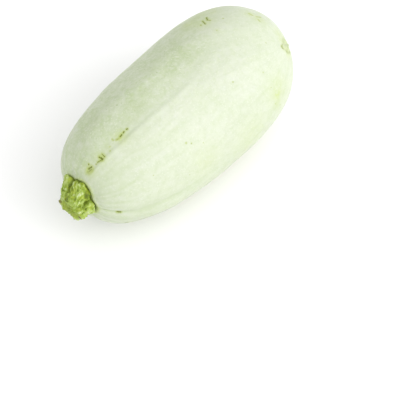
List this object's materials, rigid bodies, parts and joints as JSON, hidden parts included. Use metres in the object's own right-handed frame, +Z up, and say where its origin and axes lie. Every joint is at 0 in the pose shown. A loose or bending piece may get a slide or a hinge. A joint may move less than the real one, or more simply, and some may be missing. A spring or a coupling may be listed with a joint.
{
  "type": "vegetable marrow",
  "caption": "Pale whitish-green vegetable marrow lying on its side: a long blunt fruit with shallow grooves and a short lobed stub of cut green stem.",
  "frame": {"origin": "on the flat spot that the fruit rests on, under its weight", "axes": "+X along the fruit towards its blossom end, with the stem at -X; +Z up from the surface it lies on; +Y across"},
  "size_m": [0.2007, 0.0969, 0.0942],
  "materials": {
    "skin": "satin",
    "stem": "matte"
  },
  "bodies": {
    "root": {"fruit": "skin", "stem": "stem"}
  },
  "joints": []
}
